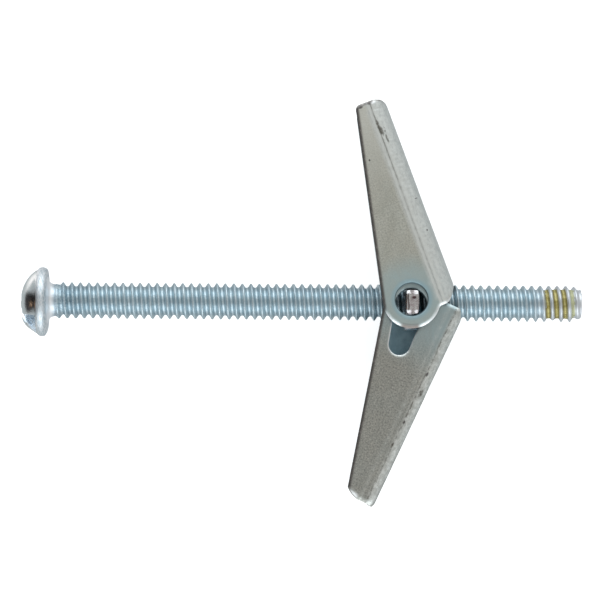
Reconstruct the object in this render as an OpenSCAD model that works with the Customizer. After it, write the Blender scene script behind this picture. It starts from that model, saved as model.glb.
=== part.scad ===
// Spring toggle bolt: a slotted round-head machine screw, a stamped trunnion nut and two sprung channel wings.
// Origin: centre of the bearing face under the head. +X runs down the screw, +Y along the upper wing.

/* [Screw] */
// Length from the bearing face to the end
screw_length = 49.7; // [45:0.1:76]
// Diameter over the thread
thread_d = 3.34; // [3.3:0.01:3.42]
// Diameter of the plain neck under the head
neck_d = 2.98; // [2.8:0.02:3.2]
// Radius of the fillet under the head
neck_fillet = 0.72; // [0.3:0.02:0.76]
// Diameter of the head
head_d = 6.44; // [6.2:0.02:6.7]
// Height of the head
head_h = 2.52; // [2.3:0.02:2.7]
// Radius of the rolled rim round the head
rim_r = 0.52; // [0.46:0.01:0.54]

/* [Drive] */
// Width of the driver slot
slot_w = 1; // [0.8:0.05:1.2]
// Depth of the slot below the crown
slot_depth = 1.4; // [1:0.05:1.5]
// Turn of the slot about the screw
slot_turn = 65; // [0:1:180]
// Span of the cross recess at the crown
cross_span = 3.5; // [3:0.1:4]
// Width of the cross recess's wings
cross_w = 0.8; // [0.6:0.05:1]
// Depth of the cross recess below the crown
cross_depth = 1.9; // [1.5:0.05:2.1]

/* [Nut] */
// Distance from the bearing face to the hinge line
nut_x = 33.8; // [24:0.1:36]
// Thickness of the nut plate
plate_t = 1.15; // [0.9:0.05:1.3]
// Length of the nut plate across the wings
plate_length = 5.2; // [4.6:0.1:5.3]
// Width of the trunnion tongues
tongue_w = 2.17; // [1.8:0.01:2.2]
// Radial clearance between the thread and the nut
thread_gap = 0.06; // [0.03:0.01:0.08]

/* [Wings] */
// Width over both wings
pack_width = 7.3; // [7.2:0.05:8]
// Thickness of the sheet
sheet_t = 0.58; // [0.5:0.01:0.6]
// Gap between the nested ears
ear_gap = 0.05; // [0.03:0.01:0.08]
// Outside radius of the bends [outer flange, inner flange]
bend_r = [1.6, 0.75]; // [0.7:0.05:1.6]
// Length of each wing beyond its hole [upper, lower]
wing_length = [18.5, 18.35]; // [18:0.05:19]
// Lean of each open wing towards the head [upper, lower]
wing_lean = [20.8, 24.85]; // [20:0.05:25]
// Taper of each wing's flanges in degrees [upper, lower]
wing_taper = [12.5, 14.05]; // [12:0.05:15]
// Distance from the hole to the web's face [upper, lower]
web_reach = [4.21, 4.84]; // [4.2:0.01:4.9]
// Distance from the hole to the outer flange's open edge [upper, lower]
outer_edge = [2.67, 2.2]; // [2.2:0.01:2.67]
// Distance from the hole to the inner flange's open edge [upper, lower]
inner_edge = [2.42, 2.47]; // [2.4:0.01:2.47]
// Slack of the wings on the tongues, taken up outwards
wing_play = 0.25; // [0.1:0.01:0.26]

/* [Ears] */
// Radius of the outer ear
ear_r = 2.67; // [2.6:0.01:2.8]
// Radius of the inner ear
inner_ear_r = 2.47; // [2.3:0.01:2.5]
// Radius of the round hole in the outer ear
hole_r = 1.5; // [1.49:0.01:1.6]
// Radius of the inner ear's slot at the tongue
slot_r = 1.45; // [1.42:0.01:1.5]
// Radius of the slot's narrow end
slot_end_r = 1; // [0.8:0.01:1.1]
// Offset of the slot's narrow end towards the web
slot_offset = 0.59; // [0.4:0.01:0.7]
// Distance of the slot's narrow end along the wing
slot_reach = 3.79; // [3.5:0.01:4]

/* [Spring] */
// Diameter of the spring wire
wire_d = 0.31; // [0.25:0.01:0.31]
// Distance along the wings to the ends of the legs
leg_reach = 8.5; // [6:0.1:11]

/* [Hidden] */

UPPER = 0;
LOWER = 1;
far = 12;
slack = 0.1;
fine = 96;

// Screw
dome_join = 0.95;
dome_steps = 14;
run_in = [0.9, 1.45];
end_taper = [0.8, 0.28];
cross_tip = 1;

// Nut
bore_r = thread_d / 2 + thread_gap;
mouth_depth = 0.14;
mouth_r = bore_r + 0.12;
plate_corner = 0.45;
pack_half = pack_width / 2;
ear_inside = pack_half - 2 * sheet_t - ear_gap;
front_shoulder = ear_inside - 0.06;
back_shoulder = bore_r + 0.02;
tongue_end = pack_half - 0.06;

// Wings: the outer flange's face is at z_out and the inner flange's at z_in
z_out = pack_half;
z_in = -(pack_half - sheet_t - ear_gap);
outer_end = -1.48;
inner_end = -1.5;
web_end = -1.22;
end_fillet = 0.5;

slot_end = [slot_offset, slot_reach];

// Corner cut from each flange's tip [across the flange, along the wing, fullness of the curve]
outer_tip = [0.45, 0.4, 1];
inner_tip = [1.3, 0.72, 0.3];

bend_steps = 10;
ear_steps = 28;

// Notch for the screw in each web, from notch_start outwards: its outline across the screw
notch_start = 2.9;
notch_half = thread_d / 2 + 0.23;
notch_outline = [
    [-notch_half, -2.1],
    [notch_half, -2.1],
    [notch_half, 1.2],
    [notch_half - 0.35, 2.3],
    [notch_half - 0.8, 2.9],
    [-notch_half, 2.9]
];

// Spring: the upper leg lies in the plane next to the ear, the lower leg in the plane next to the nut
coil_r = norm([plate_t, tongue_w]) / 2 + 0.03 + wire_d / 2;
coil_mid = -(back_shoulder + ear_inside) / 2;
leg_z = [coil_mid - wire_d / 2 - 0.005, coil_mid + wire_d / 2 + 0.005];
leg_gap = 0.05;
wire_sides = 10;
coil_steps = 40;

// Direction with the given angle from +X
function dir(a) = [cos(a), sin(a)];

// Points along an arc
function arc(centre, r, from, to, steps) =
    [for (i = [0 : steps]) centre + r * dir(from + (to - from) * i / steps)];

// Points along a curve from one point to another, drawn towards a third
function curve(from, towards, to, steps) =
    [for (i = [0 : steps])
        let (t = i / steps)
        (1 - t) * (1 - t) * from + 2 * t * (1 - t) * towards + t * t * to];

// ---- Screw ----

// Half section of the head and shank, radius against distance along the screw
module screw_section() {
    thread_r = thread_d / 2;
    neck_r = neck_d / 2;
    rim_c = head_d / 2 - rim_r;
    join_angle = acos(dome_join / head_h);
    dome = [for (i = [0 : dome_steps])
        let (a = join_angle * i / dome_steps)
        [head_d / 2 * sin(a), -head_h * cos(a)]];

    polygon(concat(dome, [[0, -dome_join]]));
    translate([0, -dome_join]) square([rim_c, dome_join]);
    intersection() {
        translate([rim_c, -rim_r]) circle(r = rim_r, $fn = fine);
        translate([0, -2 * rim_r]) square([head_d, 2 * rim_r]);
    }
    difference() {
        square([neck_r + neck_fillet, neck_fillet]);
        translate([neck_r + neck_fillet, neck_fillet]) circle(r = neck_fillet, $fn = fine);
    }
    polygon([
        [0, 0],
        [neck_r, 0],
        [neck_r, run_in[0]],
        [thread_r, run_in[1]],
        [thread_r, screw_length - end_taper[0]],
        [thread_r - end_taper[1], screw_length],
        [0, screw_length]
    ]);
}

// One tapered pair of wings of the cross recess
module cross_pair() {
    linear_extrude(height = cross_w, center = true)
        polygon([
            [-head_h - slack, cross_span / 2],
            [-head_h + cross_depth, cross_tip / 2],
            [-head_h + cross_depth, -cross_tip / 2],
            [-head_h - slack, -cross_span / 2]
        ]);
}

module screw() {
    color("lightsteelblue")
    difference() {
        rotate([0, 90, 0]) rotate_extrude($fn = fine) screw_section();
        rotate([slot_turn, 0, 0]) {
            translate([-head_h - 1, -slot_w / 2, -head_d])
                cube([1 + slot_depth, slot_w, 2 * head_d]);
            cross_pair();
            rotate([90, 0, 0]) cross_pair();
        }
    }
}

// ---- Nut ----

// Outline of the plate and its two tongues, across the wings against along the hinge line
module nut_outline() {
    c = plate_corner;
    half = plate_length / 2;
    translate([-half + c, -back_shoulder]) square([plate_length - 2 * c, back_shoulder + front_shoulder]);
    translate([-half, -back_shoulder + c]) square([plate_length, back_shoulder + front_shoulder - 2 * c]);
    for (y = [-half + c, half - c], z = [-back_shoulder + c, front_shoulder - c])
        translate([y, z]) circle(r = c, $fn = fine);
    translate([-tongue_w / 2, -tongue_end]) square([tongue_w, 2 * tongue_end]);
}

module trunnion_nut() {
    color("gainsboro")
    translate([nut_x, 0, 0])
    difference() {
        translate([-plate_t / 2, 0, 0]) rotate([90, 0, 90]) linear_extrude(height = plate_t) nut_outline();
        rotate([0, 90, 0]) cylinder(r = bore_r, h = far, center = true, $fn = fine);
        for (side = [0, 180])
            rotate([0, 90 + side, 0])
                translate([0, 0, plate_t / 2 - mouth_depth])
                    cylinder(r1 = bore_r, r2 = mouth_r, h = mouth_depth, $fn = fine);
    }
}

// ---- Wings ----

// A round-cornered block as wide as the channel less an inset on every side
module bent_block(w, inset) {
    inner_r = bend_r[1] - inset;
    outer_r = bend_r[0] - inset;
    polygon(concat(
        [[-far, z_in + inset]],
        arc([web_reach[w] - bend_r[1], z_in + bend_r[1]], inner_r, -90, 0, bend_steps),
        arc([web_reach[w] - bend_r[0], z_out - bend_r[0]], outer_r, 0, 90, bend_steps),
        [[-far, z_out - inset]]
    ));
}

// The channel before its flanges are trimmed
module channel(w) {
    translate([0, wing_length[w] + 1, 0])
        rotate([90, 0, 0])
            linear_extrude(height = wing_length[w] + 6)
                difference() {
                    bent_block(w, 0);
                    bent_block(w, sheet_t);
                }
}

// Side outline of a flange: an ear round the hole, a tapering open edge and a cut corner at the tip
module flange_outline(w, ear, edge, end_s, tip) {
    taper = wing_taper[w];
    meet = acos(min(1, edge / ear));
    fillet_s = end_s - end_fillet;
    fillet_c = [sqrt(pow(ear + end_fillet, 2) - pow(fillet_s, 2)), fillet_s];
    fillet_a = atan2(fillet_s, fillet_c[0]);
    corner = [(wing_length[w] * sin(taper) - edge) / cos(taper), wing_length[w]];
    tip_start = corner - tip[1] * [tan(taper), 1];
    tip_end = corner + [tip[0], 0];
    middle = (tip_start + tip_end) / 2;
    polygon(concat(
        arc([0, 0], ear, 180 - taper - meet, 360 + fillet_a, ear_steps),
        arc(fillet_c, end_fillet, 180 + fillet_a, 90, bend_steps),
        [[far, end_s], [far, wing_length[w]]],
        curve(tip_end, middle + tip[2] * (corner - middle), tip_start, bend_steps)
    ));
}

// The inner ear's slot: two round ends of different radius and their tangents
module ear_slot() {
    along = atan2(slot_end[1], slot_end[0]);
    lift = acos((slot_r - slot_end_r) / norm(slot_end));
    polygon(concat(
        arc([0, 0], slot_r, along + lift, along + 360 - lift, ear_steps),
        arc(slot_end, slot_end_r, along - lift, along + lift, bend_steps)
    ));
}

// A wing in its own frame: the hole at the origin, +Y along the wing, +X towards the web
module wing(w) {
    outer_face = z_out - sheet_t;
    inner_face = z_in + sheet_t;
    difference() {
        intersection() {
            channel(w);
            union() {
                translate([0, 0, outer_face - slack])
                    linear_extrude(height = sheet_t + 2 * slack)
                        flange_outline(w, ear_r, outer_edge[w], outer_end, outer_tip);
                translate([0, web_end, inner_face + slack])
                    cube([far, wing_length[w] - web_end, outer_face - inner_face - 2 * slack]);
                translate([0, 0, z_in - slack])
                    linear_extrude(height = sheet_t + 2 * slack)
                        flange_outline(w, inner_ear_r, inner_edge[w], inner_end, inner_tip);
            }
        }
        translate([0, 0, outer_face - slack]) cylinder(r = hole_r, h = sheet_t + 2 * slack, $fn = fine);
        translate([0, 0, z_in - slack]) linear_extrude(height = sheet_t + 2 * slack) ear_slot();
    }
}

// A wing on its tongues, leaning open, with its web notched for the screw
module placed_wing(w) {
    translate([nut_x, 0, 0])
    difference() {
        rotate([w == LOWER ? 180 : 0, 0, 0])
            rotate([0, 0, wing_lean[w]])
                translate([0, wing_play, 0]) wing(w);
        rotate([w == LOWER ? 180 : 0, 0, 0])
            translate([notch_start, 0, 0])
                rotate([90, 0, 90])
                    linear_extrude(height = far) polygon(notch_outline);
    }
}

module upper_wing() {
    color("silver") placed_wing(UPPER);
}

module lower_wing() {
    color("darkgray") placed_wing(LOWER);
}

// ---- Spring ----

// Direction of each leg from the coil, worked out from where its end meets the web
function leg_angle(w) =
    let (stand_off = web_reach[w] - sheet_t - wire_d / 2 - leg_gap)
    let (from_wing = atan2(stand_off, leg_reach) - asin(coil_r / norm([stand_off, leg_reach])))
    (w == UPPER ? 1 : -1) * (90 + wing_lean[w] - from_wing);

// Where each leg meets the coil, and where it ends
function leg_start(w) = coil_r * dir(leg_angle(w) + (w == UPPER ? -90 : 90));
function leg_tip(w) = leg_start(w) + leg_reach * dir(leg_angle(w));

// The wire's path: down the upper leg, once round the back tongue and out along the lower leg
function coil_path() =
    let (first = leg_angle(UPPER) - 90)
    let (last = leg_angle(LOWER) + 90 - 360)
    [for (i = [0 : coil_steps])
        let (t = i / coil_steps)
        concat(coil_r * dir(first + (last - first) * t), [leg_z[UPPER] + (leg_z[LOWER] - leg_z[UPPER]) * t])];
function spring_path() = concat(
    [concat(leg_tip(UPPER), [leg_z[UPPER]])],
    coil_path(),
    [concat(leg_tip(LOWER), [leg_z[LOWER]])]
);

// One ring of points round the wire at point i of a nearly flat path
function wire_ring(path, i) =
    let (before = path[max(i - 1, 0)])
    let (after = path[min(i + 1, len(path) - 1)])
    let (along = (after - before) / norm(after - before))
    let (side = cross([0, 0, 1], along) / norm(cross([0, 0, 1], along)))
    let (up = cross(along, side))
    [for (k = [0 : wire_sides - 1])
        let (a = 360 * k / wire_sides)
        path[i] + wire_d / 2 * (cos(a) * side + sin(a) * up)];

// A round wire of wire_sides sides along a path
module wire(path) {
    n = wire_sides;
    last = len(path) - 1;
    points = [for (i = [0 : last]) each wire_ring(path, i)];
    faces = concat(
        [[for (k = [0 : n - 1]) k]],
        [for (i = [0 : last - 1], k = [0 : n - 1])
            [i * n + k, (i + 1) * n + k, (i + 1) * n + (k + 1) % n, i * n + (k + 1) % n]],
        [[for (k = [n - 1 : -1 : 0]) last * n + k]]
    );
    polyhedron(points = points, faces = faces);
}

module torsion_spring() {
    color("dimgray") translate([nut_x, 0, 0]) wire(spring_path());
}

screw();
trunnion_nut();
torsion_spring();
upper_wing();
lower_wing();
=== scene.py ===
import bpy
import bmesh
import numpy as np
from math import acos, asin, atan2, ceil, copysign, cos, degrees, dist, exp, hypot, pi, radians
from math import sin, sqrt, tan
from mathutils import Vector, Matrix, geometry


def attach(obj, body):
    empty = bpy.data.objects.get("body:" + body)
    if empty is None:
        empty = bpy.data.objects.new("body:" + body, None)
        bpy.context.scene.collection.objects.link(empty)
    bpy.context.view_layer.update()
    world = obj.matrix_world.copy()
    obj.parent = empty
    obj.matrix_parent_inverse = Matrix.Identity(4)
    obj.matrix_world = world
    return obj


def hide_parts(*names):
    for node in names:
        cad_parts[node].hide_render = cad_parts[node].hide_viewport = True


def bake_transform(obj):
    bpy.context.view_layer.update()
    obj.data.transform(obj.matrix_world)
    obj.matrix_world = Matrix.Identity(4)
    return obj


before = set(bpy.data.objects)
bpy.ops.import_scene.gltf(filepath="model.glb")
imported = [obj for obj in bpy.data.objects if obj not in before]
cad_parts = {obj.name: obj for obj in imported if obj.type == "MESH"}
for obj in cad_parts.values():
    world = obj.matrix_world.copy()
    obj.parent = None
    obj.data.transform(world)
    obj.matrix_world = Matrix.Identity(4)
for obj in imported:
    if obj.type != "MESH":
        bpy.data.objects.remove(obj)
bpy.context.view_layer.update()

MM = 0.001
FULL_TURN = 2 * pi

# Sizes in millimetres, as in the part's source. The screw's axis is x, and x = 0 is the face under its head.
HEAD_R = 3.22
HEAD_H = 2.52
HEAD_SHIFT = -0.155  # of the head's centre, along y
NECK_R = 1.49
THREAD_R = 1.695
ROOT_R = 1.31
LENGTH = 49.7
PITCH = 0.79375
CREST_X = 1.43  # of one crest, on the side towards +Y

# The nut is a plate across the screw, and its two tongues are the wings' hinge
NUT_X = 33.8
PLATE_T = 1.15
PLATE_HALF = 2.6
FRONT_SHOULDER = 2.38
BACK_SHOULDER = 1.76
TONGUE_W = 2.17
TONGUE_END = 3.59
BORE_R = 1.74

# Each wing is a channel: an outer flange with the hinge hole, a web, and an inner flange with the slot
SHEET_T = 0.58
Z_OUT = 3.65
Z_IN = -3.02
BEND_OUT = 1.6  # outside radius of the bend beside the outer flange
BEND_IN = 0.75  # the same beside the inner flange
EAR_R = 2.67
INNER_EAR_R = 2.47
HOLE_R = 1.5
SLOT_R = 1.45
SLOT_END = (0.59, 3.79)
SLOT_END_R = 1.0
PLAY = 0.25  # the wings' slack on the tongues, taken up outwards

# The bends' radii in the middle of the sheet, and places across the flat sheet from the outer flange's bend
OUTER_BEND_R = BEND_OUT - SHEET_T / 2
INNER_BEND_R = BEND_IN - SHEET_T / 2
WEB_START = OUTER_BEND_R * pi / 2
WEB_END = WEB_START + (Z_OUT - BEND_OUT) - (Z_IN + BEND_IN)
WEB_MIDDLE = (WEB_START + WEB_END) / 2
INNER_START = WEB_END + INNER_BEND_R * pi / 2


# ---- helpers ----

def smooth(a, b, x):
    """0 at a and 1 at b, with a smooth step between them."""
    t = np.clip((x - a) / (b - a), 0, 1)
    return t * t * (3 - 2 * t)


def fade(distance, width, top=1.0):
    """top at an edge, falling evenly by 1 for each width from it, and kept between 0 and 1."""
    return np.clip(top - distance / width, 0, 1)


def bell(x, width):
    return np.exp(-(x / width) ** 2)


def configure(thing, **settings):
    for key, value in settings.items():
        setattr(thing, key, value)


def mesh_object(name, verts, faces, *materials, sharp=None):
    """A mesh from points in millimetres, shaded smooth if the angle of its sharp edges is given."""
    mesh = bpy.data.meshes.new(name)
    mesh.from_pydata([tuple(v) for v in np.asarray(verts, float) * MM], [], faces)
    mesh.validate()
    for material in materials:
        mesh.materials.append(material)
    if sharp is not None:
        smooth_shading(mesh, sharp)
    return new_object(name, mesh)


def new_object(name, data):
    obj = bpy.data.objects.new(name, data)
    bpy.context.scene.collection.objects.link(obj)
    return obj


def smooth_shading(mesh, sharp):
    mesh.shade_smooth()
    mesh.set_sharp_from_angle(angle=radians(sharp))


def outward_normals(obj):
    bm = bmesh.new()
    bm.from_mesh(obj.data)
    bmesh.ops.recalc_face_normals(bm, faces=bm.faces)
    bm.to_mesh(obj.data)
    bm.free()


def set_attributes(mesh, **values):
    """Numbers for the materials to read, one for each point and 0 where they run out."""
    for name, value in values.items():
        filled = np.zeros(len(mesh.vertices), np.float32)
        value = np.ravel(value)
        filled[:len(value)] = value
        mesh.attributes.new(name, "FLOAT", "POINT").data.foreach_set("value", filled)


def closed_bands(rows, cols, wrap=0):
    """Quads between rows of cols points, each row closed on to the row wrap rows further on."""
    quads = []
    for i in range(rows - 1):
        for j in range(cols):
            k, up = (j + 1, 0) if j + 1 < cols else (0, wrap)
            if i + 1 + up < rows:
                quads.append((i * cols + j, (i + up) * cols + k, (i + 1 + up) * cols + k, (i + 1) * cols + j))
    return quads


def open_grid(rows, cols, first=0):
    """Quads of an open grid of points, the first of which has the number first."""
    corners = [first + r * cols + c for r in range(rows - 1) for c in range(cols - 1)]
    return [(i, i + 1, i + cols + 1, i + cols) for i in corners]


def walls(ring, other):
    """Quads between two rings of point numbers."""
    return [(ring[i - 1], ring[i], other[i], other[i - 1]) for i in range(len(ring))]


def open_sides(faces):
    """The sides that only one face has, as pairs of point numbers."""
    sides = dict.fromkeys((f[i], f[(i + 1) % len(f)]) for f in faces for i in range(len(f)))
    return [side for side in sides if side[::-1] not in sides]


def prism(name, near, far, material, place=Matrix()):
    """A solid between two outlines with the same number of points, moved to its place."""
    count = len(near)
    ends = [tuple(range(count))[::-1], tuple(range(count, 2 * count))]
    faces = ends + walls(range(count), range(count, 2 * count))
    obj = mesh_object(name, near + far, faces, material)
    outward_normals(obj)
    obj.data.transform(place)
    return obj


def rectangle(x, half_y, low_z, high_z):
    return [(x, -half_y, low_z), (x, half_y, low_z), (x, half_y, high_z), (x, -half_y, high_z)]


def arc_points(centre, radius, start, end, step):
    """Points of an arc, from start to end in degrees, about step apart."""
    count = max(3, int(abs(radians(end - start)) * radius / step))
    angles = np.radians(np.linspace(start, end, count + 1))
    return [(centre[0] + radius * cos(t), centre[1] + radius * sin(t)) for t in angles]


def carve(obj, cutters, bevel, steps, sharp):
    """Cuts the cutters out of a mesh, and rounds its edges that are sharper than sharp degrees."""
    for cutter in cutters:
        cut = obj.modifiers.new("cut", "BOOLEAN")
        configure(cut, operation="DIFFERENCE", solver="EXACT", object=cutter, material_mode="TRANSFER")
    rounding = obj.modifiers.new("bevel", "BEVEL")
    configure(rounding, width=bevel * MM, segments=steps, limit_method="ANGLE", angle_limit=radians(sharp))
    graph = bpy.context.evaluated_depsgraph_get()
    mesh = bpy.data.meshes.new_from_object(obj.evaluated_get(graph), depsgraph=graph)
    obj.modifiers.clear()
    obj.data = mesh
    for cutter in cutters:
        bpy.data.objects.remove(cutter)


def join(main, *others):
    """Makes the others part of main's mesh."""
    bpy.ops.object.select_all(action="DESELECT")
    for obj in (main, *others):
        obj.select_set(True)
    bpy.context.view_layer.objects.active = main
    bpy.ops.object.join()
    return main


# ---- materials ----

class Nodes:
    """Short names for building the node tree of a material or of the world."""

    def __init__(self, owner):
        self.owner = owner
        owner.use_nodes = True
        self.tree = owner.node_tree
        self.tree.nodes.clear()

    def add(self, kind, inputs=None, **settings):
        """A new node, with its settings and its inputs' values or links."""
        node = self.tree.nodes.new("ShaderNode" + kind)
        configure(node, **settings)
        for key, value in (inputs or {}).items():
            self.put(value, node.inputs[key])
        return node

    def put(self, value, socket):
        if isinstance(value, bpy.types.NodeSocket):
            self.tree.links.new(value, socket)
        elif socket.type == "RGBA":
            socket.default_value = (*value, 1.0)
        elif value is not None:
            socket.default_value = value

    def coords(self, stretch=(1, 1, 1)):
        """Places on the object, in millimetres unless stretched."""
        place = self.add("TexCoord").outputs["Object"]
        scale = tuple(share / MM for share in stretch)
        return self.add("Mapping", {"Vector": place, "Scale": scale}).outputs["Vector"]

    def noise(self, scale, vector=None, detail=4, rough=0.55, distort=0.0):
        return self.add("TexNoise", {
            "Vector": vector or self.coords(), "Scale": scale, "Detail": detail, "Roughness": rough,
            "Distortion": distort,
        }).outputs["Fac"]

    def math(self, op, a, b=None):
        return self.add("Math", {0: a, 1: b}, operation=op).outputs[0]

    def plus(self, a, b):
        return self.math("ADD", a, b)

    def minus(self, a, b):
        return self.math("SUBTRACT", a, b)

    def times(self, *factors):
        out = factors[0]
        for factor in factors[1:]:
            out = self.math("MULTIPLY", out, factor)
        return out

    def ramp(self, value, a=0.3, b=0.7, lo=0.0, hi=1.0):
        """lo at a and hi at b, with a smooth step between them."""
        inputs = {"Value": value, "From Min": a, "From Max": b, "To Min": lo, "To Max": hi}
        return self.add("MapRange", inputs, interpolation_type="SMOOTHSTEP").outputs["Result"]

    def near(self, value, at, width):
        """1 where value is at the given place, falling to 0 at width from it."""
        return self.ramp(self.math("ABSOLUTE", self.minus(value, at)), width, 0.0)

    def spot(self, place, at, radii):
        """A soft round mark, with its centre and its two radii."""
        a, b = [self.math("DIVIDE", self.minus(p, c), r) for p, c, r in zip(place, at, radii)]
        return self.ramp(self.plus(self.times(a, a), self.times(b, b)), 1.0, 0.1)

    def mix(self, share, a, b):
        return self.add("Mix", {"Factor": share, 6: a, 7: b}, data_type="RGBA").outputs[2]

    def paint(self, colour, *coats):
        """Lays coats over a colour, each given as how much it covers and its own colour."""
        for cover, coat in coats:
            colour = self.mix(cover, colour, coat)
        return colour

    def separate(self, vector):
        return self.add("SeparateXYZ", {0: vector}).outputs

    def combine(self, x, y):
        return self.add("CombineXYZ", {0: x, 1: y}).outputs[0]

    def attribute(self, name):
        return self.add("Attribute", attribute_name=name).outputs["Fac"]

    def worn_edge(self, hi, lo=0.505):
        """1 on the outward edges of a mesh, from how pointed it is."""
        return self.ramp(self.add("NewGeometry").outputs["Pointiness"], lo, hi)

    def open_sky(self, reach):
        """How much of the sky a point sees within reach, in millimetres."""
        return self.add("AmbientOcclusion", {"Distance": reach * MM}, samples=6).outputs["AO"]

    def bump(self, height, strength, depth, normal=None):
        inputs = {"Height": height, "Strength": strength, "Distance": depth * MM, "Normal": normal}
        return self.add("Bump", inputs).outputs["Normal"]

    def metal(self, colour, roughness, normal, metallic=1.0):
        """Ends the tree in a metal, and returns the material."""
        inputs = {"Base Color": colour, "Roughness": roughness, "Metallic": metallic, "Normal": normal}
        return self.output(self.add("BsdfPrincipled", inputs))

    def output(self, shader, kind="OutputMaterial"):
        self.add(kind, {0: shader.outputs[0]})
        return self.owner


def material_nodes(name):
    return Nodes(bpy.data.materials.new(name))


def zinc_screw():
    """Blue-white zinc, frosted on the thread, bright on the dome and the sheared end, with painted shade and
    sheen.
    """
    n = material_nodes("zinc_screw")
    x = n.separate(n.coords())[0]
    head = n.attribute("head")
    rim = n.attribute("rim")
    cloud = n.ramp(n.noise(1.1, detail=5))
    fine = n.noise(9, detail=5, rough=0.65)
    frost = n.ramp(n.noise(3.5, detail=6, rough=0.8), 0.54, 0.66, 0.0, 0.5)
    first_turns = n.times(n.ramp(x, 5.0, 1.6), n.ramp(n.noise(4.6, detail=6, rough=0.9), 0.47, 0.58))
    thread = n.paint(
        n.mix(cloud, (0.55, 0.65, 0.70), (0.66, 0.73, 0.76)),
        (n.ramp(fine, 0.42, 0.70, 0.0, 0.9), (0.41, 0.52, 0.57)),
        (frost, (0.74, 0.80, 0.83)),
        # painted shade: the thread's flanks darkened down towards each root, leaving a thin lighter line at
        # the root
        (n.times(n.attribute("groove"), 0.55), (0.30, 0.41, 0.47)),
        (n.times(n.ramp(x, 44.5, 47.5), 0.8), (0.76, 0.75, 0.77)),
        (n.times(first_turns, 0.85), (0.22, 0.32, 0.39)),
        # painted sheen: the neck lightened for the light it catches
        (n.times(n.ramp(x, 0.95, 0.55), 0.8), (0.76, 0.79, 0.83)),
        (n.times(n.near(x, 0.70, 0.13), 0.6), (0.36, 0.47, 0.54)),
        # painted highlight: the fillet under the head made nearly white
        (n.ramp(x, 0.55, 0.35), (0.98, 0.98, 1.0)),
    )
    lines = n.noise(5, n.coords((3.0, 0.5, 0.5)), rough=0.7)
    turned = n.mix(n.ramp(lines, 0.40, 0.60), (0.56, 0.63, 0.67), (0.90, 0.90, 0.92))
    dome = n.mix(cloud, (0.66, 0.70, 0.71), (0.76, 0.78, 0.79))
    # painted shade: dark where little of the sky reaches within 3.2 mm, inside the wings and the nut, nearly
    # gone past x = 37.9
    painted_shade = n.times(n.ramp(n.open_sky(3.2), 0.36, 0.06), n.ramp(x, 37.9, 37.0, 0.05, 0.92))
    colour = n.paint(thread, (head, n.mix(rim, dome, turned)), (painted_shade, (0.045, 0.07, 0.08)))
    on_dome = n.times(head, n.minus(1.0, rim))
    rough = n.times(n.minus(1.0, on_dome), n.ramp(fine, lo=0.38, hi=0.54))
    rough = n.plus(rough, n.times(on_dome, n.ramp(fine, lo=0.13, hi=0.19)))
    normal = n.bump(n.noise(26, detail=3), 0.25, 0.02)
    normal = n.bump(n.noise(4.5, detail=2), n.ramp(head, 0.0, 1.0, 0.35, 0.12), 0.05, normal)
    normal = n.bump(lines, n.ramp(rim, 0.0, 1.0, 0.1, 0.8), 0.05, normal)
    return n.metal(colour, rough, normal)


def zinc_hidden(name, light, dark, roughness):
    """Plain plating, for the channels' inside and the sheet's cut edges."""
    n = material_nodes(name)
    colour = n.mix(n.ramp(n.noise(0.6, detail=5)), dark, light)
    fine = n.noise(8, detail=5)
    return n.metal(colour, n.ramp(fine, lo=roughness, hi=roughness + 0.14), n.bump(fine, 0.4, 0.03))


def zinc_recess():
    """The driver's recess, brighter and bluer than the dome."""
    n = material_nodes("zinc_recess")
    colour = n.paint(
        n.mix(n.ramp(n.noise(1.8), 0.40, 0.60), (0.44, 0.60, 0.76), (0.74, 0.82, 0.90)),
        (n.times(n.worn_edge(0.56), 0.6), (0.9, 0.93, 0.95)),
    )
    normal = n.bump(n.noise(1.3, detail=1), 0.8, 0.35)
    return n.metal(colour, n.ramp(n.noise(6), lo=0.2, hi=0.34), n.bump(n.noise(9), 0.3, 0.02, normal))


def zinc_nut():
    n = material_nodes("zinc_nut")
    colour = n.paint(
        n.mix(n.ramp(n.noise(2.5), 0.35, 0.65), (0.50, 0.44, 0.45), (0.70, 0.68, 0.68)),
        (n.times(n.worn_edge(0.57), 0.3), (0.80, 0.82, 0.84)),
        (n.attribute("pit"), (0.10, 0.06, 0.06)),
        # painted shade: the nut darkened where little of the sky reaches within 2 mm, between it, the screw
        # and the wings
        (n.times(n.ramp(n.open_sky(2.0), 0.42, 0.10), 0.9), (0.05, 0.06, 0.065)),
    )
    return n.metal(colour, n.ramp(n.noise(14), lo=0.20, hi=0.32), n.bump(n.noise(7), 0.4, 0.04))


def spring_wire():
    n = material_nodes("spring_wire")
    fine = n.noise(10)
    colour = n.paint(
        n.mix(n.ramp(n.noise(1.5)), (0.30, 0.31, 0.33), (0.44, 0.45, 0.47)),
        (n.times(n.worn_edge(0.56, lo=0.5), 0.4), (0.6, 0.62, 0.64)),
    )
    return n.metal(colour, n.ramp(fine, lo=0.25, hi=0.4), n.bump(fine, 0.3, 0.02))


def locking_patch():
    """A dried yellow coating, thin over the crests and faint at its end, with painted shade where it is thin.
    """
    n = material_nodes("locking_patch")
    faint = n.ramp(n.separate(n.coords())[0], 48.2, 48.6)
    colour = n.paint(
        n.mix(n.ramp(n.noise(3.0, detail=5)), (0.40, 0.32, 0.07), (0.70, 0.62, 0.26)),
        (n.ramp(n.noise(9, detail=5, rough=0.7), 0.5, 0.7, 0.0, 0.6), (0.12, 0.09, 0.01)),
        # darker where the coating thins towards the crests, also painted shade that leaves each band's middle
        # as a painted highlight line
        (n.times(n.attribute("thin"), 0.85), (0.17, 0.14, 0.04)),
        (n.times(faint, 0.7), (0.52, 0.54, 0.36)),
    )
    rough = n.ramp(n.noise(8), lo=0.25, hi=0.45)
    return n.metal(colour, rough, n.bump(n.noise(9), 0.5, 0.05), metallic=0.35)


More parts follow.
